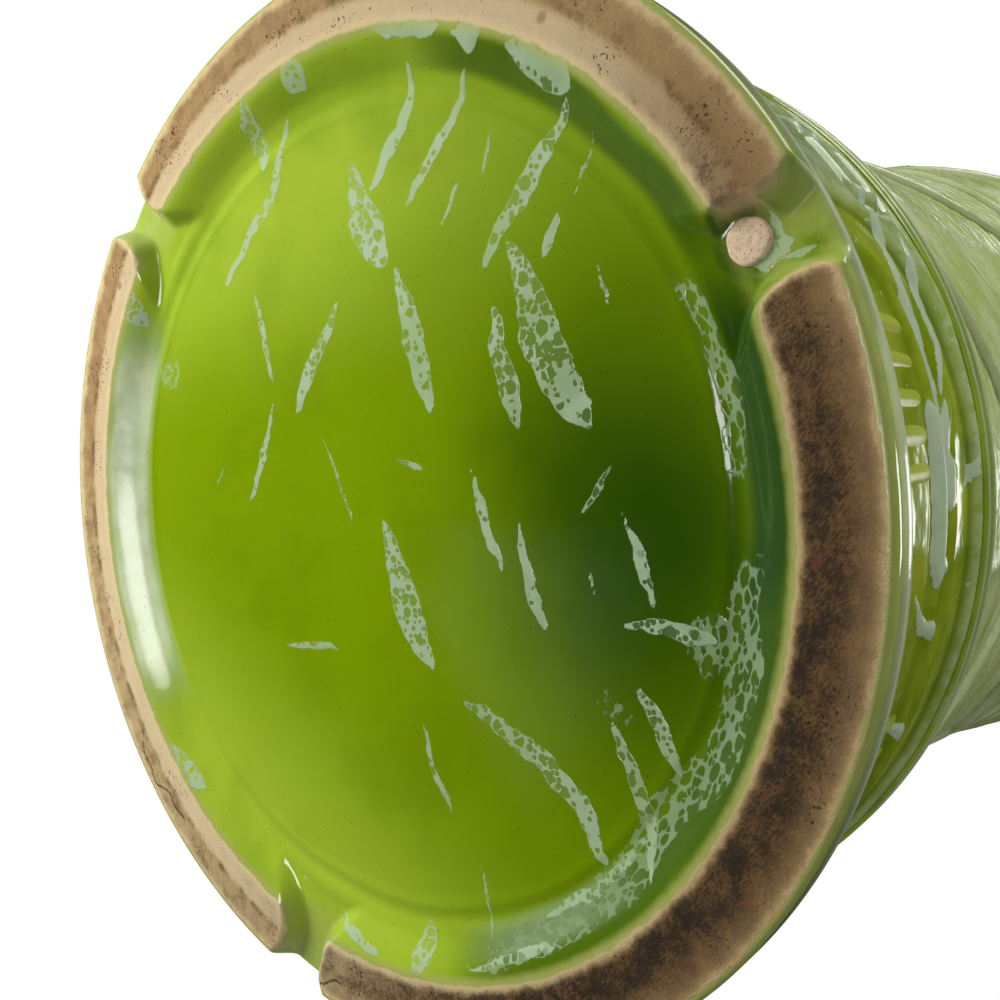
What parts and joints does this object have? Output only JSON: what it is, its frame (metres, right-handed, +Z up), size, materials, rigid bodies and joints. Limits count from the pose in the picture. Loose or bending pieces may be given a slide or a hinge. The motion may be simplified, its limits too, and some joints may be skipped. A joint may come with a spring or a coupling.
{
  "type": "ceramic vase",
  "caption": "Tall round vase with a pressed-relief pedestal, a body of hanging leaves, a narrowed neck, a rolled mouth and a recessed glazed underside on a notched bare foot.",
  "frame": {"origin": "centre of the foot, on the surface that the vase stands on", "axes": "+Z up the axis of the vase towards its mouth; one of the three foot notches lies 20 degrees round from +X"},
  "size_m": [0.1154, 0.1154, 0.22],
  "materials": {
    "bare_clay": "unglazed, matt, stained brown on one side",
    "scar_clay": "unglazed, matt, peach",
    "lime_glaze": "glossy, pooled dark in the hollows, with pale crawled streaks",
    "olive_glaze": "glossy",
    "celadon_glaze": "glossy, pale over the raised relief and olive in its hollows"
  },
  "bodies": {
    "root": {"foot_1": "bare_clay", "foot_2": "bare_clay", "foot_3": "bare_clay", "base_slab": "lime_glaze", "stilt_scar": "scar_clay", "pedestal_wall": "lime_glaze", "relief_band": "celadon_glaze", "panel_1": "olive_glaze", "panel_2": "olive_glaze", "panel_3": "olive_glaze", "panel_4": "olive_glaze", "waist_ring": "celadon_glaze", "body_wall": "celadon_glaze", "shoulder_wall": "celadon_glaze", "leaf_tier_1": "celadon_glaze", "leaf_tier_2": "celadon_glaze", "leaf_tier_3": "celadon_glaze", "leaf_tier_4": "celadon_glaze", "leaf_tier_5": "celadon_glaze", "neck_wall": "celadon_glaze", "rim_lip": "celadon_glaze"}
  },
  "joints": []
}
